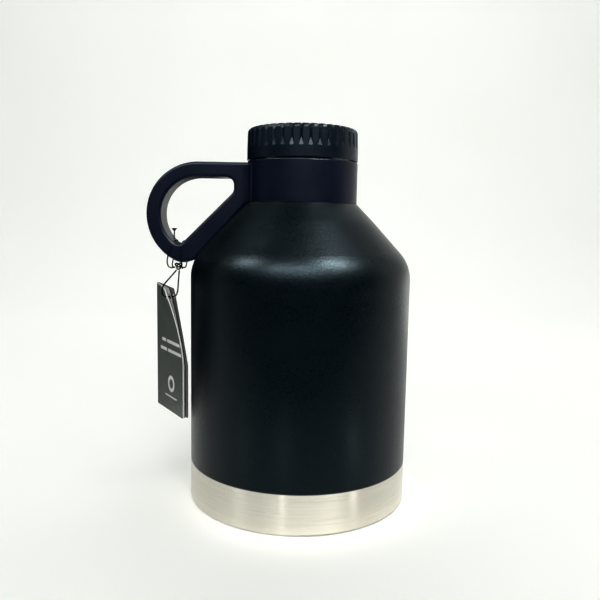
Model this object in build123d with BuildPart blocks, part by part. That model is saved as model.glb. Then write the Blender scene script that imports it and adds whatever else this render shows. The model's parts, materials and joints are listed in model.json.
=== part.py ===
"""Vacuum-insulated growler: double-walled steel bottle, handle collar, screw cap and hang tag.

Millimetres, +Z up. The origin is on the bottle's axis at the plane it stands on.
The handle points along -X, and -Y is the front.
"""

import os
from math import atan, cos, hypot, pi, radians, sin, sqrt, tan

from build123d import *

# ---- Driving dimensions -------------------------------------------------------------

# Body
body_radius = 67.5
total_height = 226.0
bare_band_height = 24.1
sheet = 0.8
foot_corner = 1.3
shoulder_start = 136.5
shoulder_bend = 24.0
shoulder_slope = 0.916
shoulder_crown = 60.0
vacuum_gap = 5.0

# Base
foot_ring_width = 7.0
foot_ring_inner_corner = 1.2
recess_wall_run = 1.5
base_recess = 3.0
inner_floor_height = 8.0
inner_floor_skirt = 8.0
inner_floor_corner = 6.0
evacuation_hole_radius = 1.5
cover_disc_radius = 16.0
cover_disc_thickness = 0.5
cover_disc_lip = 2.0
seal_plug_length = 2.2
getter_radius = 6.0
getter_height = 2.4
getter_offset = 22.0
getter_cage_wall = 0.4
getter_hole_radius = 0.8
getter_hole_count = 5

# Neck and mouth
collar_bottom = 182.1
collar_top = 206.5
neck_radius = 30.4
finish_bottom = 201.5
finish_flange_top = 206.1
finish_radius = 29.2
finish_bore = 27.8
mouth_radius = 26.0
lip_top = 219.7
lip_roll = 1.4

# Thread between neck and cap
thread_lead = 6.0
thread_turns = 1.25
thread_depth = 1.2
thread_root = 2.4
thread_crest = 1.2
thread_start = 208.9
thread_clearance = 0.4
thread_embed = 0.3

# Handle collar
collar_radius = 33.7
collar_clearance = 0.1
collar_edge_round = 0.8
handle_depth = 20.0
handle_centre_x = -62.3
handle_centre_z = 174.1
handle_outer_radius = 31.5
handle_inner_radius = 22.6
handle_edge_round = 1.8
handle_root_x = -28.0
handle_web_round = 6.0
strut_inner_sum = 229.1
strut_gap = 0.15
strut_overlap = 1.5
strut_corner = 12.0
hole_wall_x = -41.0
hole_corner = 4.5

# Collar retaining ring
ring_bottom = 203.5
ring_thickness = 1.0
ring_outer_radius = 31.6
ring_inner_radius = 29.7
ring_gap_angle = 20.0

# Cap
cap_bottom = 207.2
cap_top_radius = 33.3
cap_edge_round = 2.6
cap_shell_bore = 32.1
cap_top_thickness = 2.2
cap_top_dish = 1.0
cap_rim_width = 3.9
flute_count = 39
flute_phase = -1.5
flute_half_width = 1.3
flute_depth = 0.95
flute_rim_depth = 1.2
flute_rim_half_width = 1.5
flute_foot = 213.7
flute_run_out = 4.2
liner_wall = 1.2
liner_bottom = 207.4
liner_plate_bottom = 222.0
plug_radius = 24.6
plug_bottom = 210.0
gasket_thickness = 2.0

# Hang tag
tag_width = 43.0
tag_bottom = 48.9
tag_bend = 84.0
tag_top = 130.0
tag_spine_x = -93.4
tag_spine_y = 20.0
leaf_thickness = 0.4
leaf_pitch = 0.55
inner_leaf_short = 0.8
tag_corner = 1.5
tag_hole_radius = 1.8
tag_hole_inset = 4.2
tag_hole_drop = 5.1
string_diameter = 1.0
string_bend = 2.3
lock_radius = 2.3
lock_centre = (-75.8, -1.0, 142.4)
tail_centre = (-77.4, -6.0)
tail_foot = 158.8
tail_head = 165.2
tail_radius = 0.45
tail_head_radius = 1.6

# ---- Worked out from them -----------------------------------------------------------

shoulder_turn = atan(shoulder_slope)
bend_tangent = shoulder_bend * tan(shoulder_turn / 2)
shoulder_corner_z = shoulder_start + bend_tangent
crown_corner = (44.5, shoulder_corner_z + (body_radius - 44.5) / shoulder_slope)
inner_radius = body_radius - vacuum_gap - sheet
inner_shoulder_inset = (vacuum_gap + sheet) * hypot(1, shoulder_slope)
inner_corner_z = shoulder_corner_z - (inner_shoulder_inset - (vacuum_gap + sheet)) / shoulder_slope
inner_neck_z = inner_corner_z + (inner_radius - mouth_radius) / shoulder_slope
finish_top = lip_top - sheet
cap_bore = finish_radius + thread_depth + thread_clearance
liner_radius = cap_bore + liner_wall
cap_plate_bottom = total_height - cap_top_thickness
liner_plate_top = cap_plate_bottom - 0.1
handle_half = handle_depth / 2


def save(builder, name):
    """Label a finished piece and write it to its own file."""
    builder.part.label = name
    export_step(builder.part, f"parts/{name}.step")
    print(f"{name}: {builder.part.volume:.1f} mm3, {len(builder.part.solids())} solid")


def circle_point(radius, angle):
    """A point of the handle's D, at an angle in degrees from straight out to straight up."""
    return (
        handle_centre_x - radius * cos(radians(angle)),
        handle_centre_z + radius * sin(radians(angle)),
    )


def strut_foot(radius, start, slope):
    """Where an edge of the strut, followed down and out from start, meets a circle of the handle."""
    run_x, run_z = -slope / hypot(slope, 1), -1 / hypot(slope, 1)
    off_x, off_z = start[0] - handle_centre_x, start[1] - handle_centre_z
    middle = -(off_x * run_x + off_z * run_z)
    reach = middle + sqrt(middle**2 - off_x**2 - off_z**2 + radius**2)
    return (start[0] + reach * run_x, start[1] + reach * run_z)


os.makedirs("parts", exist_ok=True)

# ---- Bottle -------------------------------------------------------------------------

# Coated outer shell: straight wall, rounded bend, slightly crowned cone and plain neck
with BuildPart() as outer_shell:
    with BuildSketch(Plane.XZ):
        with BuildLine():
            FilletPolyline(
                (body_radius, bare_band_height),
                (body_radius, shoulder_corner_z),
                crown_corner,
                (collar_radius, collar_bottom - 0.2),
                (neck_radius, collar_bottom - 0.2),
                (neck_radius, finish_bottom),
                radius=[shoulder_bend, shoulder_crown, 0, 0],
            )
            offset(amount=sheet, side=Side.LEFT, closed=True)
        make_face()
    revolve(axis=Axis.Z)
save(outer_shell, "outer_shell")

# Bare outer base: a deep-drawn cup whose wall carries on the shell's, with a recessed floor
with BuildPart() as outer_base:
    with BuildSketch(Plane.XZ):
        with BuildLine():
            FilletPolyline(
                (body_radius, bare_band_height),
                (body_radius, 0),
                (body_radius - foot_ring_width, 0),
                (body_radius - foot_ring_width - recess_wall_run, base_recess),
                (evacuation_hole_radius, base_recess),
                radius=[foot_corner, foot_ring_inner_corner, recess_wall_run],
            )
            offset(amount=sheet, side=Side.RIGHT, closed=True)
        make_face()
    revolve(axis=Axis.Z)
save(outer_base, "outer_base")

# Glass bead that closes the evacuation hole, and the disc that hides it
with BuildPart() as seal_plug:
    with BuildSketch(Plane.XY.offset(base_recess - 0.4)):
        Circle(evacuation_hole_radius - 0.02)
    extrude(amount=seal_plug_length)
    fillet(seal_plug.edges().sort_by(Axis.Z)[-1], 0.8)
save(seal_plug, "vacuum_seal_plug")

with BuildPart() as cover_disc:
    with BuildSketch(Plane.XY.offset(base_recess - 0.5 - cover_disc_thickness)):
        Circle(cover_disc_radius)
    extrude(amount=cover_disc_thickness + 0.5)
    with BuildSketch(Plane.XY.offset(base_recess - 0.5)):
        Circle(cover_disc_radius - cover_disc_lip)
    extrude(amount=0.5, mode=Mode.SUBTRACT)
    fillet(cover_disc.edges().group_by(Axis.Z)[0], 0.3)
save(cover_disc, "base_cover_disc")

# Inner vessel: parallel to the shell at the vacuum gap, with its mouth rolled over the neck
with BuildPart() as inner_vessel:
    with BuildSketch(Plane.XZ):
        with BuildLine():
            FilletPolyline(
                (inner_radius, inner_floor_height + 1),
                (inner_radius, inner_corner_z),
                (mouth_radius, inner_neck_z),
                (mouth_radius, lip_top),
                (finish_radius, lip_top),
                radius=[shoulder_bend - vacuum_gap, 8, lip_roll],
            )
            offset(amount=sheet, side=Side.RIGHT, closed=True)
        make_face()
    revolve(axis=Axis.Z)
save(inner_vessel, "inner_vessel")

# Inner floor: a shallow cup welded inside the lower end of the vessel
with BuildPart() as inner_floor:
    with BuildSketch(Plane.XZ):
        with BuildLine():
            FilletPolyline(
                (inner_radius, inner_floor_height + inner_floor_skirt),
                (inner_radius, inner_floor_height),
                (inner_radius / 2, inner_floor_height),
                (0, inner_floor_height + 1.5),
                radius=[inner_floor_corner, 40],
            )
            offset(amount=sheet, side=Side.RIGHT, closed=True)
        make_face()
    revolve(axis=Axis.Z)
save(inner_floor, "inner_floor")

# Getter: a pellet in a small cage hung under the inner floor, in the vacuum
getter_place = Plane((getter_offset, 0, base_recess + sheet + 0.5))
with BuildPart() as getter_cage:
    with BuildSketch(getter_place):
        Circle(getter_radius + 0.1 + getter_cage_wall)
    extrude(amount=inner_floor_height - base_recess - sheet - 0.5)
    with BuildSketch(getter_place.offset(getter_cage_wall)):
        Circle(getter_radius + 0.1)
    extrude(amount=inner_floor_height, mode=Mode.SUBTRACT)
    with BuildSketch(getter_place):
        with PolarLocations(getter_radius / 2, getter_hole_count):
            Circle(getter_hole_radius)
    extrude(amount=getter_cage_wall, mode=Mode.SUBTRACT)
save(getter_cage, "getter_cage")

with BuildPart() as getter:
    with BuildSketch(getter_place.offset(getter_cage_wall)):
        Circle(getter_radius)
    extrude(amount=getter_height)
    fillet(getter.edges().group_by(Axis.Z)[-1], 0.4)
save(getter, "getter")

# Threaded finish: a steel ring welded on the neck, grooved for the retaining ring below and
# carrying the cap's thread above
with BuildPart() as neck_finish:
    with BuildSketch(Plane.XZ):
        with BuildLine():
            Polyline(
                (finish_bore, finish_bottom),
                (neck_radius, finish_bottom),
                (neck_radius, ring_bottom - 0.1),
                (ring_inner_radius - 0.1, ring_bottom - 0.1),
                (ring_inner_radius - 0.1, ring_bottom + ring_thickness + 0.1),
                (neck_radius, ring_bottom + ring_thickness + 0.1),
                (neck_radius, finish_flange_top),
                (finish_radius, finish_flange_top + 0.6),
                (finish_radius, finish_top),
                (finish_bore, finish_top),
                close=True,
            )
        make_face()
    revolve(axis=Axis.Z)
    with BuildLine() as thread_path:
        Helix(
            pitch=thread_lead,
            height=thread_lead * thread_turns,
            radius=finish_radius,
            center=(0, 0, thread_start),
        )
    with BuildSketch(
        Plane(origin=thread_path.line @ 0, x_dir=(1, 0, 0), z_dir=thread_path.line % 0)
    ):
        Polygon(
            (-thread_embed, -thread_root / 2),
            (-thread_embed, thread_root / 2),
            (thread_depth, thread_crest / 2),
            (thread_depth, -thread_crest / 2),
            align=None,
        )
    sweep(path=thread_path.line, is_frenet=True)
save(neck_finish, "neck_finish")

# ---- Handle collar ------------------------------------------------------------------

hole_foot = (hole_wall_x, strut_inner_sum + hole_wall_x)
inner_foot = strut_foot(handle_inner_radius, hole_foot, 1)
# The strut is drawn into the shoulder's cone and then cut back to lie along it
strut_root = (
    handle_root_x,
    shoulder_corner_z + (body_radius + handle_root_x) / shoulder_slope - strut_overlap * hypot(1, 1 / shoulder_slope),
)
outer_foot = strut_foot(handle_outer_radius, strut_root, shoulder_slope)
handle_top = handle_centre_z + handle_outer_radius
hole_top = handle_centre_z + handle_inner_radius
shoulder_lean = hypot(1, shoulder_slope)
room_x = strut_gap / shoulder_lean
room_z = strut_gap * shoulder_slope / shoulder_lean
web_meets_ring = -sqrt((collar_radius + handle_web_round) ** 2 - (handle_half + handle_web_round) ** 2)

# The bottle's shoulder grown by strut_gap, which hollows the underside of the strut
with BuildPart() as shoulder_room:
    with BuildSketch(Plane.XZ):
        with BuildLine():
            FilletPolyline(
                (0, shoulder_start - shoulder_bend),
                (body_radius + strut_gap, shoulder_start - shoulder_bend),
                (body_radius + strut_gap, shoulder_corner_z + strut_gap * (shoulder_lean - 1) / shoulder_slope),
                (crown_corner[0] + room_x, crown_corner[1] + room_z),
                (collar_radius + room_x, collar_bottom - 0.2 + room_z),
                (0, collar_bottom - 0.2 + room_z),
                radius=[0, shoulder_bend + strut_gap, shoulder_crown + strut_gap, 0],
            )
            Line((0, collar_bottom - 0.2 + room_z), (0, shoulder_start - shoulder_bend))
        make_face()
    revolve(axis=Axis.Z)

# One moulding: a ring round the neck and a D-shaped loop with a strut along the shoulder
with BuildPart() as handle_collar:
    with BuildSketch(Plane.XZ):
        with BuildLine():
            Line((handle_root_x, handle_top), (handle_centre_x, handle_top))
            ThreePointArc(
                (handle_centre_x, handle_top),
                circle_point(handle_outer_radius, 0),
                outer_foot,
            )
            Polyline(outer_foot, strut_root, (handle_root_x, handle_top))
        outline = make_face()
        fillet(outline.vertices().sort_by_distance((*outer_foot, 0))[0], strut_corner)
        with BuildLine():
            Line((hole_wall_x, hole_top), (handle_centre_x, hole_top))
            ThreePointArc(
                (handle_centre_x, hole_top),
                circle_point(handle_inner_radius, 0),
                inner_foot,
            )
            Polyline(inner_foot, hole_foot, (hole_wall_x, hole_top))
        make_face(mode=Mode.SUBTRACT)
    extrude(amount=handle_half, both=True)
    corners = handle_collar.edges().filter_by(Axis.Y)
    fillet(corners.sort_by_distance((hole_wall_x, 0, hole_top))[0], hole_corner)
    corners = handle_collar.edges().filter_by(Axis.Y)
    fillet(corners.sort_by_distance((inner_foot[0], 0, inner_foot[1]))[0], hole_corner)
    corners = handle_collar.edges().filter_by(Axis.Y)
    fillet(corners.sort_by_distance((hole_foot[0], 0, hole_foot[1]))[0], hole_corner)
    rims = handle_collar.faces().filter_by(Axis.Y).edges()
    fillet(rims.filter_by(lambda edge: edge.center().X < handle_root_x - 0.5), handle_edge_round)
    add(shoulder_room.part, mode=Mode.SUBTRACT)
    with BuildSketch(Plane.XY.offset(collar_bottom)):
        Circle(collar_radius)
    extrude(amount=collar_top - collar_bottom)
    # Concave corners between the loop's sides and the ring
    with BuildSketch(Plane.XY.offset(collar_bottom)):
        Polygon(
            (web_meets_ring, handle_half + handle_web_round - 0.01),
            (web_meets_ring, -handle_half - handle_web_round + 0.01),
            (handle_root_x, -handle_half - handle_web_round + 0.01),
            (handle_root_x, handle_half + handle_web_round - 0.01),
            align=None,
        )
        with Locations(
            (web_meets_ring, handle_half + handle_web_round),
            (web_meets_ring, -handle_half - handle_web_round),
        ):
            Circle(handle_web_round, mode=Mode.SUBTRACT)
    extrude(amount=handle_top - handle_edge_round - collar_bottom)
    with BuildSketch(Plane.XY.offset(collar_bottom - 0.2)):
        Circle(neck_radius + collar_clearance)
    extrude(amount=collar_top - collar_bottom + 0.2, mode=Mode.SUBTRACT)
    with BuildSketch(Plane.XY.offset(ring_bottom - 0.1)):
        Circle(ring_outer_radius + 0.2)
    extrude(amount=collar_top - ring_bottom + 0.1, mode=Mode.SUBTRACT)
    top_rim = handle_collar.edges().group_by(Axis.Z)[-1].sort_by(SortBy.RADIUS)[-1]
    fillet(top_rim, collar_edge_round)
save(handle_collar, "handle_collar")

# Split spring ring that holds the collar down on the neck
with BuildPart() as retaining_ring:
    with BuildSketch(Plane.XY.offset(ring_bottom)):
        Circle(ring_outer_radius)
        Circle(ring_inner_radius, mode=Mode.SUBTRACT)
        with BuildLine():
            reach = 2 * ring_outer_radius
            Polyline(
                (0, 0),
                (reach, -reach * tan(radians(ring_gap_angle / 2))),
                (reach, reach * tan(radians(ring_gap_angle / 2))),
                close=True,
            )
        make_face(mode=Mode.SUBTRACT)
    extrude(amount=ring_thickness)
    fillet(retaining_ring.edges().filter_by(Axis.Z), 0.3)
save(retaining_ring, "collar_retaining_ring")

# ---- Cap ----------------------------------------------------------------------------

# V-groove cutter with a sloped foot, standing on +X, that leans in at the top to notch the rim
with BuildPart() as flute_cutter:
    with BuildSketch(Plane.XY.offset(flute_foot)):
        Polygon(
            (collar_radius - flute_depth, 0),
            (collar_radius + flute_depth, 2 * flute_half_width),
            (collar_radius + flute_depth, -2 * flute_half_width),
            align=None,
        )
    extrude(amount=total_height - flute_foot + 1)
    split(
        bisect_by=Plane(
            origin=(collar_radius, 0, flute_foot),
            z_dir=(flute_run_out, 0, flute_depth),
        ),
        keep=Keep.TOP,
    )

# The same groove carried over the cap's rounded edge, along a line at 45 degrees
rim_apex = cap_top_radius - flute_rim_depth
with BuildPart() as rim_cutter:
    with BuildSketch(
        Plane(origin=(rim_apex, 0, total_height - cap_edge_round), x_dir=(1, 0, 1), z_dir=(-1, 0, 1))
    ):
        Polygon(
            (0, 0),
            (2 * flute_rim_depth, 2 * flute_rim_half_width),
            (2 * flute_rim_depth, -2 * flute_rim_half_width),
            align=None,
        )
    extrude(amount=3 * cap_edge_round, both=True)

# Outer cap: a fluted grip over a plain skirt, with a shallow dish on top
with BuildPart() as cap_shell:
    with BuildSketch(Plane.XZ):
        with BuildLine():
            FilletPolyline(
                (0, total_height - cap_top_dish),
                (cap_top_radius - cap_rim_width, total_height - cap_top_dish),
                (cap_top_radius - cap_rim_width + 0.5, total_height),
                (cap_top_radius, total_height),
                (collar_radius, flute_foot),
                (collar_radius, cap_bottom),
                (cap_shell_bore, cap_bottom),
                (cap_shell_bore, cap_plate_bottom),
                (0, cap_plate_bottom),
                radius=[0.3, 0.3, cap_edge_round, 0, 0.4, 0.3, 0.8],
            )
            Line((0, cap_plate_bottom), (0, total_height - cap_top_dish))
        make_face()
    revolve(axis=Axis.Z)
    with PolarLocations(0, flute_count, start_angle=flute_phase - 90):
        add(flute_cutter.part, mode=Mode.SUBTRACT)
        add(rim_cutter.part, mode=Mode.SUBTRACT)
save(cap_shell, "cap_shell")

# Thread ridge on the bore of the liner; half a turn round it lies half a lead from the neck's
with BuildPart() as cap_thread:
    with BuildLine() as cap_thread_path:
        Helix(
            pitch=thread_lead,
            height=thread_lead * thread_turns,
            radius=cap_bore,
            center=(0, 0, thread_start),
        )
    with BuildSketch(
        Plane(origin=cap_thread_path.line @ 0, x_dir=(-1, 0, 0), z_dir=cap_thread_path.line % 0)
    ):
        Polygon(
            (-thread_embed, -thread_root / 2),
            (-thread_embed, thread_root / 2),
            (thread_depth, thread_crest / 2),
            (thread_depth, -thread_crest / 2),
            align=None,
        )
    sweep(path=cap_thread_path.line, is_frenet=True)

# Liner: threaded skirt, plate and hollow plug in one moulding
with BuildPart() as cap_liner:
    with BuildSketch(Plane.XZ):
        with BuildLine():
            Polyline(
                (cap_bore, liner_bottom),
                (liner_radius, liner_bottom),
                (liner_radius, liner_plate_top),
                (plug_radius - liner_wall, liner_plate_top),
                (plug_radius - liner_wall, plug_bottom + liner_wall),
                (0, plug_bottom + liner_wall),
                (0, plug_bottom),
                (plug_radius, plug_bottom),
                (plug_radius, liner_plate_bottom),
                (cap_bore, liner_plate_bottom),
                close=True,
            )
        make_face()
    revolve(axis=Axis.Z)
    fillet(cap_liner.edges().group_by(Axis.Z)[-1].sort_by(SortBy.RADIUS)[-1], 1.0)
    add(cap_thread.part, rotation=(0, 0, 180))
save(cap_liner, "cap_liner")

# Foam that fills the plug, and the silicone ring that seals on the rolled mouth
with BuildPart() as cap_insulation:
    with BuildSketch(Plane.XY.offset(plug_bottom + liner_wall)):
        Circle(plug_radius - liner_wall - 0.05)
    extrude(amount=liner_plate_top - plug_bottom - liner_wall)
save(cap_insulation, "cap_insulation")

with BuildPart() as cap_gasket:
    with BuildSketch(Plane.XY.offset(lip_top + 0.05)):
        Circle(finish_radius + 0.1)
        Circle(plug_radius + 0.3, mode=Mode.SUBTRACT)
    extrude(amount=gasket_thickness)
    fillet(cap_gasket.edges(), 0.4)
save(cap_gasket, "cap_gasket")

# ---- Hang tag -----------------------------------------------------------------------

def leaf(turns, lift, width=tag_width):
    """A twisted card leaf: its turn away from the spine is given at the foot, bend and top."""
    spine_x = tag_spine_x - lift * cos(radians(turns[0]))
    spine_y = tag_spine_y - lift * sin(radians(turns[0]))
    along = [(sin(radians(turn)), -cos(radians(turn))) for turn in turns]
    with BuildPart() as card:
        for level, (run_x, run_y) in zip((tag_bottom, tag_bend, tag_top), along):
            with BuildSketch(Plane((spine_x, spine_y, level), x_dir=(run_x, run_y, 0))):
                with Locations((width / 2, 0)):
                    Rectangle(width, leaf_thickness)
        loft(ruled=True)
        corners = card.edges().filter_by(lambda edge: edge.length < 1.5 * leaf_thickness)
        outer = corners.sort_by_distance((0, -tag_width, (tag_bottom + tag_top) / 2))[:2]
        fillet(outer, tag_corner)
        share = tag_hole_drop / (tag_top - tag_bend)
        run_x = along[2][0] + share * (along[1][0] - along[2][0])
        run_y = along[2][1] + share * (along[1][1] - along[2][1])
        reach = tag_width - tag_hole_inset
        centre = (spine_x + reach * run_x, spine_y + reach * run_y, tag_top - tag_hole_drop)
        with BuildSketch(Plane(centre, z_dir=(-run_y, run_x, 0))):
            Circle(tag_hole_radius)
        extrude(amount=2 * tag_hole_radius, both=True, mode=Mode.SUBTRACT)
    return card


tag_front_leaf = leaf((33.0, 32.5, 18.4), leaf_pitch)
tag_inner_leaf = leaf((34.1, 33.6, 21.6), 0, tag_width - inner_leaf_short)
tag_back_leaf = leaf((35.6, 34.7, 24.4), -leaf_pitch)
save(tag_front_leaf, "tag_front_leaf")
save(tag_inner_leaf, "tag_inner_leaf")
save(tag_back_leaf, "tag_back_leaf")


# ---- Tag string ---------------------------------------------------------------------


def string_tube(points, radii):
    """Straight runs of string joined by tangent arcs, and what they measure."""
    with BuildPart() as tube:
        with BuildLine():
            route = FilletPolyline(*points, radius=radii)
        with BuildSketch(Plane(origin=route @ 0, z_dir=route % 0)):
            Circle(string_diameter / 2)
        sweep(path=route)
    length = route.length
    section = pi * string_diameter**2 / 4
    print(f"string {length:.1f} mm, volume ratio {tube.part.volume / (section * length):.4f}, radii {radii}")
    return tube


def free_radii(points):
    """Each corner's arc: 0.45 of the shorter run over the tangent of half the turn."""
    radii = []
    for before, corner, after in zip(points, points[1:], points[2:]):
        run_in = Vector(*corner) - Vector(*before)
        run_out = Vector(*after) - Vector(*corner)
        half_turn = radians(run_in.get_angle(run_out)) / 2
        radii.append(round(0.45 * min(run_in.length, run_out.length) / tan(half_turn), 2))
    return radii


# The wraps round the foot of the loop: up the front, over, down the back and into the bead
wrap_reach = handle_half + string_diameter / 2 + 0.15
wrap_bends = [1.2, string_bend, string_bend, string_bend, string_bend, 1.2]
outer_wrap = (
    (-78.4, -2.2, 141.4),
    (-81.0, -5.4, 140.7),
    (-81.5, -wrap_reach, 146.4),
    (-77.4, -wrap_reach, 158.2),
    (-77.4, wrap_reach, 158.2),
    (-81.5, wrap_reach, 146.4),
    (-81.0, 3.6, 140.7),
    (-78.4, 0.2, 141.4),
)
inner_wrap = (
    (-73.2, -2.2, 141.4),
    (-72.4, -6.2, 140.5),
    (-72.6, -wrap_reach, 144.6),
    (-72.4, -wrap_reach, 157.8),
    (-72.4, wrap_reach, 157.8),
    (-72.6, wrap_reach, 144.6),
    (-72.4, 4.6, 140.5),
    (-73.2, 0.2, 141.4),
)
outer_winding = string_tube(outer_wrap, wrap_bends)
inner_winding = string_tube(inner_wrap, wrap_bends)
save(outer_winding, "tag_string_wrap_outer")
save(inner_winding, "tag_string_wrap_inner")

# Locking bead between the wraps and the hanging loop
with BuildPart() as lock_bead:
    with BuildSketch(Plane(lock_centre, x_dir=(1, 0, 0), z_dir=(0, -1, 0))):
        Circle(lock_radius)
        with Locations((-lock_radius, 0)):
            Rectangle(2 * lock_radius, 2 * lock_radius, mode=Mode.SUBTRACT)
    revolve(axis=Axis(lock_centre, (0, 0, 1)))
save(lock_bead, "tag_string_lock")

# Hanging loop through the holes of all three leaves
hanging_route = (
    (-76.9, -2.4, 139.7),
    (-79.6, -8.6, 135.6),
    (-82.9, -15.6, 130.9),
    (-82.9, -17.8, 126.0),
    (-79.6, -16.3, 124.3),
    (-75.0, -14.0, 124.7),
    (-74.4, -11.2, 127.8),
    (-74.9, -7.0, 133.4),
    (-75.2, -2.2, 139.4),
)
hanging_loop = string_tube(hanging_route, free_radii(hanging_route))
save(hanging_loop, "tag_string_loop")

# Tail of the lock, standing on the outer wrap, with a round head
with BuildPart() as lock_tail:
    with BuildSketch(Plane((*tail_centre, tail_foot))):
        Circle(tail_radius)
    extrude(amount=tail_head - 1.2 - tail_foot)
    with BuildSketch(Plane((*tail_centre, tail_head - 1.2))):
        Circle(tail_radius)
    with BuildSketch(Plane((*tail_centre, tail_head))):
        Circle(tail_head_radius)
    loft()
    with BuildSketch(Plane((*tail_centre, tail_head))):
        Circle(tail_head_radius)
    extrude(amount=0.5)
save(lock_tail, "tag_string_tail")
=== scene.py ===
"""Looks for the growler: camera, string, materials, hang tag, floor and studio light."""

import json
from math import cos, hypot, pi, radians, sin

import bpy
from mathutils import Euler, Matrix, Vector


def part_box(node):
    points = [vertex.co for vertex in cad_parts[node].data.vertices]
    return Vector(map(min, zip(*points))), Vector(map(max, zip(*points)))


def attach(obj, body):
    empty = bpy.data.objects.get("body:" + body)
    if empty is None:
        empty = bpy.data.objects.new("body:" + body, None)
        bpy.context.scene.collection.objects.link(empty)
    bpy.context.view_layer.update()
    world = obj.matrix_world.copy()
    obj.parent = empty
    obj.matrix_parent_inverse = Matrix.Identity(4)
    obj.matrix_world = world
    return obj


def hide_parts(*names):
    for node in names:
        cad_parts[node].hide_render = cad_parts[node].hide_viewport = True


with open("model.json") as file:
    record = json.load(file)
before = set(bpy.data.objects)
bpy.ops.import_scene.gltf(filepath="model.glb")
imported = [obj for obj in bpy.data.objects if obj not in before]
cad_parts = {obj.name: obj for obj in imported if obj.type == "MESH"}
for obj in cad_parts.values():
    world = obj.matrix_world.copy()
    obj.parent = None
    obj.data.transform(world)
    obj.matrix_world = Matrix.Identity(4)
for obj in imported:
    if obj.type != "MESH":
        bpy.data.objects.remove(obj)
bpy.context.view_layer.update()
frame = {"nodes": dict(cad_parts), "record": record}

MM = 0.001


# ---- Camera -------------------------------------------------------------------------

CAMERA_PLACE = (0.0, -0.39855, 0.16943)
CAMERA_PITCH = 0.1181
CAMERA_ROLL = 0.0178
CAMERA_LENS = 38.4


def add_camera():
    """The photograph's viewing angle: a little above the middle, looking slightly down."""
    data = bpy.data.cameras.new("camera")
    data.lens = CAMERA_LENS
    data.sensor_width = 36.0
    data.clip_start = 0.01
    camera = bpy.data.objects.new("camera", data)
    turn = Euler((pi / 2 - CAMERA_PITCH, 0, 0)).to_matrix() @ Matrix.Rotation(CAMERA_ROLL, 3, "Z")
    camera.matrix_world = Matrix.Translation(CAMERA_PLACE) @ turn.to_4x4()
    bpy.context.scene.collection.objects.link(camera)
    bpy.context.scene.camera = camera
    bpy.context.scene.view_settings.view_transform = "Standard"


add_camera()


# ---- Tag string ---------------------------------------------------------------------

STRANDS, STRAND_SIDES = 3, 8
STRAND_SHARE = 0.58  # one strand's width, as a share of the string's

# Width over the strands, and the length of one twist
LOOP_STRANDS, LOOP_TWIST = 1.12 * MM, 3.4 * MM
WINDING_STRANDS, WINDING_TWIST = 1.02 * MM, 3.1 * MM
KNOT_STRANDS, KNOT_TWIST = 1.15 * MM, 3.0 * MM

KNOT_SIZE = 0.78 * MM
KNOT_DEPTH = 1.15
KNOT_HEIGHT = 0.95
KNOT_STEPS = 96
LOCK_CENTRE = (-0.0758, -0.0010, 0.1424)

# Control points, in metres. The wraps go from the lock round the foot of the handle and back
WRAP_Y = 0.01065
OUTER_WRAP = [
    (-0.0784, -0.0022, 0.1414), (-0.0810, -0.0054, 0.1407), (-0.0815, -WRAP_Y, 0.1464),
    (-0.0774, -WRAP_Y, 0.1582), (-0.0774, WRAP_Y, 0.1582), (-0.0815, WRAP_Y, 0.1464),
    (-0.0810, 0.0036, 0.1407), (-0.0784, 0.0002, 0.1414),
]
INNER_WRAP = [
    (-0.0732, -0.0022, 0.1414), (-0.0724, -0.0062, 0.1405), (-0.0726, -WRAP_Y, 0.1446),
    (-0.0724, -WRAP_Y, 0.1578), (-0.0724, WRAP_Y, 0.1578), (-0.0726, WRAP_Y, 0.1446),
    (-0.0724, 0.0046, 0.1405), (-0.0732, 0.0002, 0.1414),
]
HANGING_LOOP = [
    (-0.0769, -0.0024, 0.1397), (-0.0796, -0.0086, 0.1356), (-0.0829, -0.0156, 0.1309),
    (-0.0829, -0.0178, 0.1260), (-0.0796, -0.0163, 0.1243), (-0.0750, -0.0140, 0.1247),
    (-0.0744, -0.0112, 0.1278), (-0.0749, -0.0070, 0.1334), (-0.0752, -0.0022, 0.1394),
]


def add_mesh(name, points, faces):
    """A smooth-shaded piece in the scene, made from its points and faces."""
    mesh = bpy.data.meshes.new(name)
    mesh.from_pydata([tuple(p) for p in points], [], faces)
    mesh.update()
    mesh.polygons.foreach_set("use_smooth", [True] * len(mesh.polygons))
    piece = bpy.data.objects.new(name, mesh)
    bpy.context.scene.collection.objects.link(piece)
    return piece


def smooth_route(points):
    """Points along the NURBS spline whose control points are given."""
    curve = bpy.data.curves.new("route", "CURVE")
    curve.dimensions = "3D"
    curve.resolution_u = 24
    spline = curve.splines.new("NURBS")
    spline.points.add(len(points) - 1)
    for control, place in zip(spline.points, points):
        control.co = (*place, 1)
    spline.order_u = 3
    spline.use_endpoint_u = True
    holder = bpy.data.objects.new("route", curve)
    mesh = bpy.data.meshes.new_from_object(holder)
    route = [v.co.copy() for v in mesh.vertices]
    bpy.data.objects.remove(holder)
    bpy.data.curves.remove(curve)
    bpy.data.meshes.remove(mesh)
    return route


def frames(route, cyclic=False):
    """At each point the way along and two square directions that turn as little as they can."""
    count = len(route)
    side = None
    result = []
    for i, place in enumerate(route):
        before = route[(i - 1) % count] if cyclic else route[max(0, i - 1)]
        after = route[(i + 1) % count] if cyclic else route[min(count - 1, i + 1)]
        along = (after - before).normalized()
        side = along.orthogonal() if side is None else side - along * side.dot(along)
        side = side.normalized()
        result.append((place, side, along.cross(side)))
    return result


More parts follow.
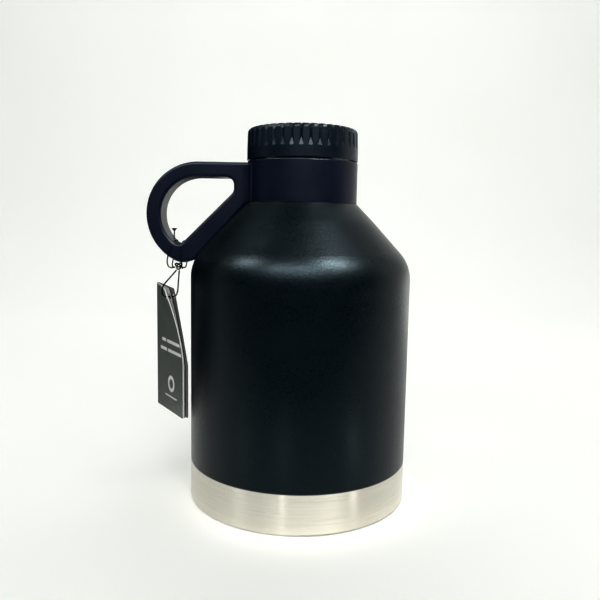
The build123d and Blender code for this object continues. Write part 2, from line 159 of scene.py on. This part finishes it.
def strands(name, route, diameter, pitch, cyclic=False):
    """A laid string: round strands that wind about the route and meet at its middle."""
    strand_radius = diameter / 2 * STRAND_SHARE
    offset = diameter / 2 - strand_radius
    squares = frames(route, cyclic)
    points, faces = [], []
    for strand in range(STRANDS):
        run = 0.0
        middles = []
        for i, (place, side, up) in enumerate(squares):
            run += (place - squares[i - 1][0]).length if i else 0
            turn = 2 * pi * (run / pitch + strand / STRANDS)
            middles.append((place + offset * (side * cos(turn) + up * sin(turn)), side, up))
        start = len(points)
        for place, side, up in middles:
            for k in range(STRAND_SIDES):
                a = 2 * pi * k / STRAND_SIDES
                points.append(place + strand_radius * (side * cos(a) + up * sin(a)))
        rings = len(middles)
        for i in range(rings if cyclic else rings - 1):
            for k in range(STRAND_SIDES):
                a, b = start + i * STRAND_SIDES, start + (i + 1) % rings * STRAND_SIDES
                faces.append((a + k, a + (k + 1) % STRAND_SIDES, b + (k + 1) % STRAND_SIDES, b + k))
        if not cyclic:
            last = start + (rings - 1) * STRAND_SIDES
            faces.append(tuple(start + k for k in reversed(range(STRAND_SIDES))))
            faces.append(tuple(last + k for k in range(STRAND_SIDES)))
    return add_mesh(name, points, faces)


def add_winding(name, node, points):
    """A turn of string round the foot of the handle."""
    winding = strands(name, smooth_route(points), WINDING_STRANDS, WINDING_TWIST)
    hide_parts(node)
    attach(winding, "root")
    return winding


def add_knot():
    """The lock between the windings and the hanging loop, pulled up into a small trefoil knot."""
    route = []
    for i in range(KNOT_STEPS):
        t = 2 * pi * i / KNOT_STEPS
        across = sin(t) + 2 * sin(2 * t)
        deep = -KNOT_DEPTH * sin(3 * t)
        up = KNOT_HEIGHT * (cos(t) - 2 * cos(2 * t))
        route.append(Vector(LOCK_CENTRE) + KNOT_SIZE * Vector((across, deep, up)))
    made = strands("tag_string_knot", route, KNOT_STRANDS, KNOT_TWIST, cyclic=True)
    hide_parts("tag_string_lock")
    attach(made, "tag_lock")
    return made


hanging_points = smooth_route(HANGING_LOOP)
hanging_loop = strands("tag_string_hanging", hanging_points, LOOP_STRANDS, LOOP_TWIST)
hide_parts("tag_string_loop")
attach(hanging_loop, "tag")

outer_wrap = add_winding("tag_string_outer_winding", "tag_string_wrap_outer", OUTER_WRAP)
inner_wrap = add_winding("tag_string_inner_winding", "tag_string_wrap_inner", INNER_WRAP)
knot = add_knot()


# ---- Hang tag -----------------------------------------------------------------------

TAG_WIDTH, TAG_BOTTOM, TAG_TOP = 43 * MM, 48.9 * MM, 130 * MM
TAG_SPINE = (-93.4 * MM, 20 * MM)
TAG_BEND = 82 * MM
TAG_THICKNESS = 0.5 * MM
TAG_CORNER = 1.5 * MM
TAG_HOLE = (38.8 * MM, 124.9 * MM)
TAG_HOLE_RADIUS = 1.8 * MM
LEAF_PITCH = 0.55 * MM
LEAF_COLUMNS, LEAF_ROWS = 44, 82
INNER_LEAF_NARROWER = 0.8 * MM
FLAT_SCALE = 10  # units of the flat layout to a metre

# Each leaf's turn about the spine in degrees, how much of it eases off by the top, and how late
FRONT_LEAF = (33.0, 15.0, 1.6)
INNER_LEAF = (34.1, 12.5, 1.3)
BACK_LEAF = (35.6, 11.4, 1.05)

# The materials of a leaf's faces, by index
OUTWARD, INWARD, CUT = 0, 1, 2


def leaf_turn(leaf, z):
    """How far a leaf is turned about the spine at a height: even below, easing off above."""
    low, drop, power = leaf
    share = max(0.0, (z - TAG_BEND) / (TAG_TOP - TAG_BEND))
    return radians(low - drop * share ** power)


def at_radius(place, centre, radius):
    """The point that far from the centre, on the line from the centre through place."""
    du, dv = place[0] - centre[0], place[1] - centre[1]
    reach = hypot(du, dv)
    return centre[0] + du * radius / reach, centre[1] + dv * radius / reach


def flat_leaf(width):
    """The leaf laid flat: the place of each grid point, and the cells that its hole takes away."""
    height = TAG_TOP - TAG_BOTTOM
    flat = {}
    for i in range(LEAF_COLUMNS + 1):
        for j in range(LEAF_ROWS + 1):
            place = (width * i / LEAF_COLUMNS, TAG_BOTTOM + height * j / LEAF_ROWS)
            low = place[1] < TAG_BOTTOM + height / 2
            centre = (width - TAG_CORNER, TAG_BOTTOM + TAG_CORNER if low else TAG_TOP - TAG_CORNER)
            du, dv = place[0] - centre[0], place[1] - centre[1]
            in_corner = du > 0 and (dv < 0 if low else dv > 0)
            if in_corner and hypot(du, dv) > TAG_CORNER:
                place = at_radius(place, centre, TAG_CORNER)
            flat[i, j] = place
    gone = set()
    for (i, j), (u, v) in flat.items():
        du = u + width / LEAF_COLUMNS / 2 - TAG_HOLE[0]
        dv = v + height / LEAF_ROWS / 2 - TAG_HOLE[1]
        if i < LEAF_COLUMNS and j < LEAF_ROWS and hypot(du, dv) < TAG_HOLE_RADIUS:
            gone.add((i, j))
    for i, j in list(flat):
        around = [(i - 1, j - 1), (i, j - 1), (i - 1, j), (i, j)]
        if 0 < sum(cell in gone for cell in around) < 4:
            flat[i, j] = at_radius(flat[i, j], TAG_HOLE, TAG_HOLE_RADIUS)
    return flat, gone


def bent_leaf(flat, leaf, lift):
    """The number of each side's grid points, and the points themselves, bent about the spine."""
    base_turn = radians(leaf[0])
    spine = Vector((TAG_SPINE[0] - lift * cos(base_turn), TAG_SPINE[1] - lift * sin(base_turn), 0))
    numbers, points = {}, []
    for side in (1, -1):
        for key, (u, v) in flat.items():
            turn = leaf_turn(leaf, v)
            along = Vector((sin(turn), -cos(turn), 0))
            outward = Vector((-cos(turn), -sin(turn), 0))
            numbers[side, key] = len(points)
            points.append(spine + Vector((0, 0, v)) + along * u + outward * side * TAG_THICKNESS / 2)
    return numbers, points


def leaf_faces(numbers, gone):
    """The faces of both sides and of every cut edge, and the material index of each."""
    faces, kinds, edges = [], [], {}
    for i in range(LEAF_COLUMNS):
        for j in range(LEAF_ROWS):
            if (i, j) in gone:
                continue
            cell = [(i, j), (i + 1, j), (i + 1, j + 1), (i, j + 1)]
            faces.append(tuple(numbers[1, c] for c in reversed(cell)))
            faces.append(tuple(numbers[-1, c] for c in cell))
            kinds += [OUTWARD, INWARD]
            for a, b in zip(cell, cell[1:] + cell[:1]):
                key = frozenset((a, b))
                edges[key] = None if key in edges else (a, b)
    for pair in edges.values():
        if pair:
            a, b = pair
            faces.append((numbers[1, a], numbers[1, b], numbers[-1, b], numbers[-1, a]))
            kinds.append(CUT)
    return faces, kinds


def add_leaf(name, node, leaf, lift, width):
    """A bent sheet of card with rounded free corners, a string hole and sharp cut edges."""
    flat, gone = flat_leaf(width)
    numbers, points = bent_leaf(flat, leaf, lift)
    faces, kinds = leaf_faces(numbers, gone)
    used = sorted({p for face in faces for p in face})
    order = {p: n for n, p in enumerate(used)}
    piece = add_mesh(name, [points[p] for p in used], [tuple(order[p] for p in face) for face in faces])
    flat_of = {number: flat[key] for (_, key), number in numbers.items()}
    layer = piece.data.uv_layers.new(name="flat")
    for loop in piece.data.loops:
        u, v = flat_of[used[loop.vertex_index]]
        layer.data[loop.index].uv = (u * FLAT_SCALE, v * FLAT_SCALE)
    piece.data.polygons.foreach_set("material_index", kinds)
    rim = set()
    for polygon in piece.data.polygons:
        if polygon.material_index == CUT:
            polygon.use_smooth = False
            rim.update(polygon.edge_keys)
    for edge in piece.data.edges:
        edge.use_edge_sharp = edge.key in rim
    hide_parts(node)
    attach(piece, "tag")
    return piece


inner_width = TAG_WIDTH - INNER_LEAF_NARROWER
front_leaf = add_leaf("tag_leaf_front", "tag_front_leaf", FRONT_LEAF, LEAF_PITCH, TAG_WIDTH)
inner_leaf = add_leaf("tag_leaf_inner", "tag_inner_leaf", INNER_LEAF, 0, inner_width)
back_leaf = add_leaf("tag_leaf_back", "tag_back_leaf", BACK_LEAF, -LEAF_PITCH, TAG_WIDTH)


# ---- Node helpers -------------------------------------------------------------------

# Nearly all of a noise lies between these
NOISE_LOW, NOISE_HIGH = 0.3, 0.7

# A Mix node has sockets of the same names for each kind of data; these are those for colours
COLOUR_MIX_INPUTS = (0, 6, 7)
COLOUR_MIX_OUTPUT = 2


class Shader:
    """A material's node tree, with short ways to add and join nodes."""

    def __init__(self, name):
        self.material = bpy.data.materials.new(name)
        self.material.use_nodes = True
        self.tree = self.material.node_tree
        self.surface = self.tree.nodes["Principled BSDF"]
        self.output = self.tree.nodes["Material Output"]

    def node(self, kind, **settings):
        made = self.tree.nodes.new(kind)
        for key, value in settings.items():
            setattr(made, key, value)
        return made

    def link(self, source, target):
        self.tree.links.new(source, target)

    def feed(self, **sources):
        """Joins sources to the surface's own sockets; _ in a name stands for a space."""
        for key, source in sources.items():
            self.link(source, self.surface.inputs[key.replace("_", " ")])

    def set(self, **values):
        """Constant values on the surface's own sockets; _ in a name stands for a space."""
        for key, value in values.items():
            self.surface.inputs[key.replace("_", " ")].default_value = value

    def stretched(self, vector, scale):
        """The vector with each of its parts multiplied."""
        mapping = self.node("ShaderNodeMapping")
        mapping.inputs["Scale"].default_value = scale
        self.link(vector, mapping.inputs["Vector"])
        return mapping.outputs["Vector"]

    def position(self, scale=(1, 1, 1)):
        """The point on the piece, in metres, stretched by scale."""
        return self.stretched(self.node("ShaderNodeTexCoord").outputs["Object"], scale)

    def parts(self, vector):
        """The vector's X, Y and Z."""
        made = self.node("ShaderNodeSeparateXYZ")
        self.link(vector, made.inputs["Vector"])
        return made.outputs

    def math(self, operation, first, second=None, third=None):
        made = self.node("ShaderNodeMath", operation=operation)
        for socket, value in zip(made.inputs, (first, second, third)):
            if value is None:
                continue
            if isinstance(value, (int, float)):
                socket.default_value = value
            else:
                self.link(value, socket)
        return made.outputs["Value"]

    def noise(self, vector, scale, detail=2.0, roughness=0.5):
        made = self.node("ShaderNodeTexNoise")
        made.inputs["Scale"].default_value = scale
        made.inputs["Detail"].default_value = detail
        made.inputs["Roughness"].default_value = roughness
        self.link(vector, made.inputs["Vector"])
        return made.outputs["Fac"]

    def ramp(self, factor, low, high, first, second):
        """A colour that goes from first, where factor is low, to second, where it is high."""
        made = self.node("ShaderNodeValToRGB")
        self.link(factor, made.inputs["Fac"])
        for element, place, colour in zip(made.color_ramp.elements, (low, high), (first, second)):
            element.position = place
            element.color = (*colour, 1)
        return made.outputs["Color"]

    def tones(self, noise, first, second):
        """A colour that goes from first to second as the noise rises."""
        return self.ramp(noise, NOISE_LOW, NOISE_HIGH, first, second)

    def span(self, factor, low, high, from_low=0.0, from_high=1.0):
        """factor mapped from one range to another."""
        made = self.node("ShaderNodeMapRange")
        made.inputs["From Min"].default_value = from_low
        made.inputs["From Max"].default_value = from_high
        made.inputs["To Min"].default_value = low
        made.inputs["To Max"].default_value = high
        self.link(factor, made.inputs["Value"])
        return made.outputs["Result"]

    def spread(self, noise, low, high):
        """A value that goes from low to high as the noise rises."""
        return self.span(noise, low, high, NOISE_LOW, NOISE_HIGH)

    def bump(self, height, distance, strength, under=None):
        made = self.node("ShaderNodeBump")
        made.inputs["Distance"].default_value = distance
        made.inputs["Strength"].default_value = strength
        self.link(height, made.inputs["Height"])
        if under is not None:
            self.link(under, made.inputs["Normal"])
        return made.outputs["Normal"]

    def cylinder(self, radius):
        """Distance round the bottle's axis and height, in metres, as a vector, and the height alone."""
        parts = self.parts(self.node("ShaderNodeTexCoord").outputs["Object"])
        angle = self.math("ARCTAN2", parts["Y"], parts["X"])
        joined = self.node("ShaderNodeCombineXYZ")
        self.link(self.math("MULTIPLY", angle, radius), joined.inputs["X"])
        self.link(parts["Z"], joined.inputs["Y"])
        return joined.outputs["Vector"], parts["Z"]

    def blend(self, factor, first, second):
        """first where factor is 0 and second where it is 1; each a socket or a colour."""
        made = self.node("ShaderNodeMix", data_type="RGBA")
        for socket, value in zip(COLOUR_MIX_INPUTS, (factor, first, second)):
            if isinstance(value, tuple):
                made.inputs[socket].default_value = (*value, 1)
            else:
                self.link(value, made.inputs[socket])
        return made.outputs[COLOUR_MIX_OUTPUT]

    def box(self, across, up, left, right, low, high):
        """1 inside a rectangle of the two coordinates, 0 outside."""
        inside = self.math("COMPARE", across, (left + right) / 2, (right - left) / 2)
        return self.math("MULTIPLY", inside, self.math("COMPARE", up, (low + high) / 2, (high - low) / 2))


# ---- Materials ----------------------------------------------------------------------

BAND_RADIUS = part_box("outer_base")[1].x
# Above this height the band's top strip is darkened: painted shade of the step where the powder coat
# meets the steel
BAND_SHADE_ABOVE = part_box("outer_base")[1].z - 0.6 * MM
BAND_TOP_SHADE = (0.03, 0.03, 0.03)
NECK_RADIUS = 30 * MM

# Left, right, low and high of each printed bar, in mm across the leaf from its spine and up
TAG_BARS = [
    (10.0, 17.0, 93.2, 95.3), (19.0, 41.0, 93.2, 95.3), (6.5, 17.5, 87.2, 89.3), (19.5, 41.5, 87.2, 89.3),
    (14.0, 33.0, 58.0, 58.9),
]
RING_ACROSS, RING_UP, RING_RADIUS, RING_HALF_WIDTH = 24.0, 67.0, 4.2, 1.1
INK = (0.62, 0.63, 0.60)


def shaded(colour, share):
    """The colour made darker, or lighter where share is over 1."""
    return tuple(c * share for c in colour)


def powder_coat():
    """Black textured powder coat: fine grains over a faint orange peel, satin between them."""
    s = Shader("powder_coat")
    at = s.position()
    grain = s.noise(at, 1050, detail=2, roughness=0.6)
    peel = s.noise(at, 420, detail=1)
    patches = s.noise(at, 30, detail=2)
    s.feed(Base_Color=s.ramp(grain, 0.35, 0.75, (0.0001, 0.0012, 0.0022), (0.0007, 0.0030, 0.0048)))
    rough = s.math("ADD", s.spread(grain, 0.27, 0.39), s.spread(patches, -0.03, 0.03))
    s.feed(Roughness=rough)
    waves = s.bump(peel, 0.12 * MM, 0.4)
    s.feed(Normal=s.bump(grain, 0.13 * MM, 0.8, under=waves))
    s.set(Specular_IOR_Level=0.12, IOR=1.5, Specular_Tint=(0.60, 0.88, 1.0, 1))
    return s.material


def brushed_steel(name, colour, radius, shade_above=None):
    """Steel brushed round the bottle, with fine level scratches; above a height it may be darkened as
    painted shade where the coat meets the band.
    """
    s = Shader(name)
    around, height = s.cylinder(radius)
    fine = s.noise(s.stretched(around, (14, 5200, 1)), 1.0, detail=2, roughness=0.6)
    broad = s.noise(s.stretched(around, (5, 900, 1)), 1.0, detail=2)
    tone = s.tones(fine, shaded(colour, 0.90), shaded(colour, 1.10))
    if shade_above is not None:
        # Painted shade: the band's top strip turns dark where the coat meets it
        tone = s.blend(s.math("GREATER_THAN", height, shade_above), tone, BAND_TOP_SHADE)
    s.feed(Base_Color=tone)
    rough = s.math("ADD", s.spread(fine, 0.27, 0.34), s.spread(broad, -0.03, 0.03))
    s.feed(Roughness=rough)
    s.feed(Normal=s.bump(fine, 0.010 * MM, 0.25))
    s.set(Metallic=1.0, Anisotropic=0.90, Anisotropic_Rotation=0.25)
    tangent = s.node("ShaderNodeTangent", direction_type="RADIAL", axis="Z")
    s.feed(Tangent=tangent.outputs["Tangent"])
    return s.material


def plain_steel(name, colour, roughness):
    """Drawn or stamped steel with a faint even grain."""
    s = Shader(name)
    at = s.position()
    grain = s.noise(at, 900, detail=3)
    cloud = s.noise(at, 45, detail=2)
    s.feed(Base_Color=s.tones(cloud, shaded(colour, 0.9), colour))
    s.feed(Roughness=s.spread(grain, roughness - 0.06, roughness + 0.08))
    s.feed(Normal=s.bump(grain, 0.02 * MM, 0.4))
    s.set(Metallic=1.0)
    return s.material


def moulded_plastic(name, colour, roughness, specular=0.12, tint=(0.75, 0.9, 1.0, 1)):
    """Satin moulded plastic: a very fine spark texture and slow changes of gloss."""
    s = Shader(name)
    at = s.position()
    grain = s.noise(at, 1100, detail=2)
    cloud = s.noise(at, 60, detail=2)
    s.feed(Base_Color=s.tones(cloud, shaded(colour, 0.8), colour))
    rough = s.math("ADD", s.spread(grain, roughness - 0.03, roughness + 0.05),
                   s.spread(cloud, -0.03, 0.03))
    s.feed(Roughness=rough)
    s.feed(Normal=s.bump(grain, 0.03 * MM, 0.35))
    s.set(IOR=1.5, Specular_IOR_Level=specular, Specular_Tint=tint)
    return s.material


def soft_solid(name, colour, roughness, scale, depth):
    """Foam, silicone, glass bead or pellet: an even colour with pores or grains."""
    s = Shader(name)
    pores = s.node("ShaderNodeTexVoronoi")
    pores.inputs["Scale"].default_value = scale
    s.link(s.position(), pores.inputs["Vector"])
    distance = pores.outputs["Distance"]
    s.feed(Base_Color=s.ramp(distance, 0.0, 0.5, shaded(colour, 0.75), colour))
    s.feed(Roughness=s.span(distance, roughness - 0.05, roughness + 0.05))
    s.feed(Normal=s.bump(distance, depth * MM, 0.4))
    return s.material


def tag_print(s):
    """1 where the front leaf is printed, 0 elsewhere, from the leaf's own flat layout."""
    layout = s.parts(s.node("ShaderNodeUVMap", uv_map="flat").outputs["UV"])
    across, up = (s.math("MULTIPLY", layout[part], 1 / (FLAT_SCALE * MM)) for part in "XY")
    du = s.math("SUBTRACT", across, RING_ACROSS)
    dv = s.math("SUBTRACT", up, RING_UP)
    reach = s.math("SQRT", s.math("ADD", s.math("MULTIPLY", du, du), s.math("MULTIPLY", dv, dv)))
    ink = s.math("COMPARE", reach, RING_RADIUS, RING_HALF_WIDTH)
    for bar in TAG_BARS:
        ink = s.math("MAXIMUM", ink, s.box(across, up, *bar))
    return ink


def tag_outside(name, colour, printed):
    """Dark satin card; the front leaf carries plain pale bars and a plain ring."""
    s = Shader(name)
    at = s.position()
    fibre = s.noise(at, 1800, detail=3)
    cloud = s.noise(at, 40, detail=2)
    tone = s.tones(cloud, shaded(colour, 0.85), colour)
    if printed:
        tone = s.blend(tag_print(s), tone, INK)
    s.feed(Base_Color=tone)
    s.feed(Roughness=s.spread(fibre, 0.34, 0.46))
    s.feed(Normal=s.bump(fibre, 0.02 * MM, 0.35))
    s.set(Specular_IOR_Level=0.16)
    return s.material


def tag_paper(name, colour, specular=0.3):
    """Uncoated paper: a fine fibre grain and faint clouds."""
    s = Shader(name)
    at = s.position()
    fibre = s.noise(at, 2600, detail=4, roughness=0.7)
    cloud = s.noise(at, 60, detail=2)
    s.feed(Base_Color=s.tones(cloud, shaded(colour, 0.95), colour))
    s.feed(Roughness=s.spread(fibre, 0.7, 0.9))
    s.feed(Normal=s.bump(fibre, 0.03 * MM, 0.5))
    s.set(Specular_IOR_Level=specular)
    return s.material


def waxed_string():
    """Black waxed string: fibres along the strands and a slight sheen."""
    s = Shader("string")
    fibre = s.noise(s.position((1, 1, 2.5)), 5200, detail=3)
    s.feed(Base_Color=s.tones(fibre, (0.0010, 0.0014, 0.0020), (0.0040, 0.0046, 0.0055)))
    s.feed(Roughness=s.spread(fibre, 0.5, 0.75))
    s.feed(Normal=s.bump(fibre, 0.02 * MM, 0.6))
    s.set(Specular_IOR_Level=0.02)
    return s.material


MATERIALS = {
    "powder_coat": powder_coat(),
    "brushed_steel": brushed_steel("brushed_steel", (0.60, 0.575, 0.50), BAND_RADIUS, BAND_SHADE_ABOVE),
    "inner_steel": brushed_steel("inner_steel", (0.62, 0.61, 0.59), NECK_RADIUS),
    "steel_disc": plain_steel("steel_disc", (0.55, 0.54, 0.52), 0.34),
    "spring_steel": plain_steel("spring_steel", (0.36, 0.36, 0.37), 0.30),
    "seal_glass": soft_solid("seal_glass", (0.10, 0.10, 0.12), 0.15, 2500, 0.01),
    "getter_alloy": soft_solid("getter_alloy", (0.16, 0.16, 0.17), 0.7, 3000, 0.05),
    "collar_plastic": moulded_plastic(
        "collar_plastic", (0.0003, 0.0018, 0.0105), 0.36, tint=(0.70, 0.84, 1.0, 1)
    ),
    "cap_plastic": moulded_plastic("cap_plastic", (0.0004, 0.0036, 0.0100), 0.32, specular=0.15),
    "liner_plastic": moulded_plastic("liner_plastic", (0.012, 0.012, 0.014), 0.45),
    "foam": soft_solid("foam", (0.80, 0.78, 0.72), 0.9, 1400, 0.2),
    "silicone": soft_solid("silicone", (0.62, 0.62, 0.60), 0.55, 1800, 0.02),
    "lock_plastic": moulded_plastic("lock_plastic", (0.004, 0.004, 0.005), 0.32),
}

for part in frame["record"]["subparts"]:
    found = frame["nodes"].get(part["node"])
    if found and part["material_slot"] in MATERIALS:
        found.data.materials.clear()
        found.data.materials.append(MATERIALS[part["material_slot"]])

STRING = waxed_string()
for piece in (hanging_loop, outer_wrap, inner_wrap, knot):
    piece.data.materials.append(STRING)

PRINTED = tag_outside("tag_card_printed", (0.070, 0.082, 0.074), True)
# The back leaf's unprinted outer face: dark card, painted much darker than the front as shade where it
# faces the bottle
PLAIN_SHADED = tag_outside("tag_card_plain_painted_shade", (0.004, 0.005, 0.005), False)
INSIDE = tag_paper("tag_inside", (0.78, 0.78, 0.74))
# Painted shade: the white inside paper made dark grey on the back leaf, where it faces into the fold
SHADED_INSIDE = tag_paper("tag_inside_painted_shade", (0.16, 0.16, 0.15))
CUT_EDGE = tag_paper("tag_cut_edge", (0.95, 0.95, 0.92))
# Painted shadow: the cut edges of the inner and back leaves are made near black for the shade in the gaps
# between the leaves
SHADOW_EDGE = tag_paper("tag_edge_painted_shadow", (0.003, 0.003, 0.003), specular=0.03)
for piece, sides in (
    (front_leaf, (PRINTED, INSIDE, CUT_EDGE)),
    (inner_leaf, (INSIDE, INSIDE, SHADOW_EDGE)),
    (back_leaf, (SHADED_INSIDE, PLAIN_SHADED, SHADOW_EDGE)),
):
    for material in sides:
        piece.data.materials.append(material)


# ---- Studio -------------------------------------------------------------------------

MIDDLE = (0.0, 0.0, 0.12)
BAND_MIDDLE = (0.0, 0.0, 0.014)


def add_floor():
    """A pale sweep: level from behind the camera to behind the bottle, then curving up."""
    half_width, front, back, rise, bend = 2.2, -0.55, 1.1, 2.2, 0.45
    outline = [(front, 0.0), (back - bend, 0.0)]
    steps = 24
    for i in range(1, steps + 1):
        turn = pi / 2 * i / steps
        outline.append((back - bend + bend * sin(turn), bend - bend * cos(turn)))
    outline.append((back, rise))
    points = [(x, y, z) for y, z in outline for x in (-half_width, half_width)]
    faces = [(2 * i, 2 * i + 1, 2 * i + 3, 2 * i + 2) for i in range(len(outline) - 1)]
    floor = add_mesh("floor", points, faces)
    s = Shader("pale_floor")
    mottle = s.noise(s.position(), 7, detail=3)
    s.feed(Base_Color=s.tones(mottle, (0.84, 0.85, 0.81), (0.88, 0.89, 0.86)))
    depth = s.parts(s.position())["Y"]
    # A faint glow, stronger further back, evens the floor into the pale room
    s.feed(Emission_Strength=s.span(depth, 0.13, 0.31, -0.1, 0.9))
    s.set(Roughness=0.8, Specular_IOR_Level=0.2, Emission_Color=(0.98, 1.0, 0.97, 1))
    # Reflections see the floor ahead of the bottle as dark, which keeps the coat black
    dark = s.node("ShaderNodeBsdfDiffuse")
    dark.inputs["Color"].default_value = (0.02, 0.035, 0.045, 1)
    ray = s.node("ShaderNodeLightPath")
    ahead = s.span(depth, 1.0, 0.0, -0.34, -0.17)
    shared = s.math("MULTIPLY", ray.outputs["Is Glossy Ray"], ahead)
    mix = s.node("ShaderNodeMixShader")
    s.link(shared, mix.inputs["Fac"])
    s.link(s.surface.outputs["BSDF"], mix.inputs[1])
    s.link(dark.outputs["BSDF"], mix.inputs[2])
    s.link(mix.outputs["Shader"], s.output.inputs["Surface"])
    floor.data.materials.append(s.material)


def add_light(name, towards, distance, size, radiance, colour=(1, 1, 1), only=None, about=MIDDLE):
    """A soft box that faces one point from one direction; only may be "gloss" or "fill"."""
    place = Vector(towards).normalized() * distance + Vector(about)
    data = bpy.data.lights.new(name, "AREA")
    data.shape = "RECTANGLE"
    data.size, data.size_y = size
    data.energy = radiance * pi * size[0] * size[1]
    data.color = colour
    light = bpy.data.objects.new(name, data)
    light.location = place
    light.rotation_euler = (Vector(about) - place).to_track_quat("-Z", "Y").to_euler()
    light.visible_camera = False
    light.visible_diffuse = only != "gloss"
    light.visible_glossy = only != "fill"
    bpy.context.scene.collection.objects.link(light)


def add_dark_card():
    """A black card at the left, seen only in reflections: it darkens the bottle's left edge."""
    plan = [(-0.30, -0.02), (-0.25, 0.09), (-0.165, 0.15), (-0.07, 0.175)]
    height = 0.5
    points = [(x, y, z) for x, y in plan for z in (0.0, height)]
    faces = [(2 * i, 2 * i + 1, 2 * i + 3, 2 * i + 2) for i in range(len(plan) - 1)]
    card = add_mesh("dark_card", points, faces)
    s = Shader("dark_card")
    weave = s.noise(s.position(), 400, detail=2)
    s.feed(Base_Color=s.tones(weave, (0.001,) * 3, (0.003,) * 3))
    s.set(Roughness=1.0, Specular_IOR_Level=0.0)
    card.data.materials.append(s.material)
    card.visible_camera = card.visible_diffuse = card.visible_shadow = False


def add_world():
    """Pale low down at the sides and behind; dim overhead and in front, behind the camera."""
    world = bpy.data.worlds.new("studio")
    bpy.context.scene.world = world
    world.use_nodes = True
    tree = world.node_tree
    background = tree.nodes["Background"]
    coordinates = tree.nodes.new("ShaderNodeTexCoord")
    parts = tree.nodes.new("ShaderNodeSeparateXYZ")
    tree.links.new(coordinates.outputs["Generated"], parts.inputs["Vector"])

    def shade(output, low, high, dim, pale):
        shift = tree.nodes.new("ShaderNodeMapRange")
        shift.interpolation_type = "SMOOTHSTEP"
        for name, value in (("From Min", low), ("From Max", high), ("To Min", dim), ("To Max", pale)):
            shift.inputs[name].default_value = value
        tree.links.new(parts.outputs[output], shift.inputs["Value"])
        return shift.outputs["Result"]

    joined = tree.nodes.new("ShaderNodeMath")
    joined.operation = "MULTIPLY"
    tree.links.new(shade("Y", -0.35, 0.35, 0.006, 1.0), joined.inputs[0])
    tree.links.new(shade("Z", 0.45, 0.85, 1.0, 0.10), joined.inputs[1])
    # Seen straight on, the room is pale all round
    ray = tree.nodes.new("ShaderNodeLightPath")
    direct = tree.nodes.new("ShaderNodeMath")
    direct.operation = "MULTIPLY"
    tree.links.new(ray.outputs["Is Camera Ray"], direct.inputs[0])
    direct.inputs[1].default_value = 0.86
    brighter = tree.nodes.new("ShaderNodeMath")
    brighter.operation = "MAXIMUM"
    tree.links.new(joined.outputs["Value"], brighter.inputs[0])
    tree.links.new(direct.outputs["Value"], brighter.inputs[1])
    background.inputs["Color"].default_value = (0.97, 1.0, 0.96, 1)
    tree.links.new(brighter.outputs["Value"], background.inputs["Strength"])


add_floor()
add_world()
add_dark_card()
add_light("key_right", (0.44, -0.42, 0.78), 1.1, (0.28, 0.30), 124.0, (1.0, 1.0, 0.98), only="gloss")
add_light("key_left", (-0.66, -0.24, 0.71), 1.1, (0.26, 0.26), 40.0, (0.98, 1.0, 1.0), only="gloss")
add_light("front_top", (-0.09, -0.75, 0.66), 1.2, (0.98, 0.20), 42.0, only="gloss")
add_light("right_rim", (0.66, 0.72, -0.06), 0.7, (0.34, 0.18), 1.0, (1.0, 1.0, 0.97), only="gloss")
for name, towards, distance, size, radiance in (
    ("streak_narrow", (-0.031, -0.164, 0), 0.167, (0.004, 0.016), 20.0),
    ("streak_left", (-0.1166, -0.111, 0), 0.161, (0.022, 0.016), 2.2),
    ("streak_right", (0.117, -0.113, 0), 0.163, (0.008, 0.016), 14.0),
):
    add_light(name, towards, distance, size, radiance, only="gloss", about=BAND_MIDDLE)
add_light("overhead", (0.10, -0.25, 0.96), 1.3, (0.9, 0.7), 4.2, only="fill")
add_light("front_fill", (0.10, -0.93, 0.36), 1.35, (0.9, 0.7), 4.5, only="fill")
add_light("back_top", (0.0, 0.62, 0.78), 1.3, (1.4, 0.6), 1.85)
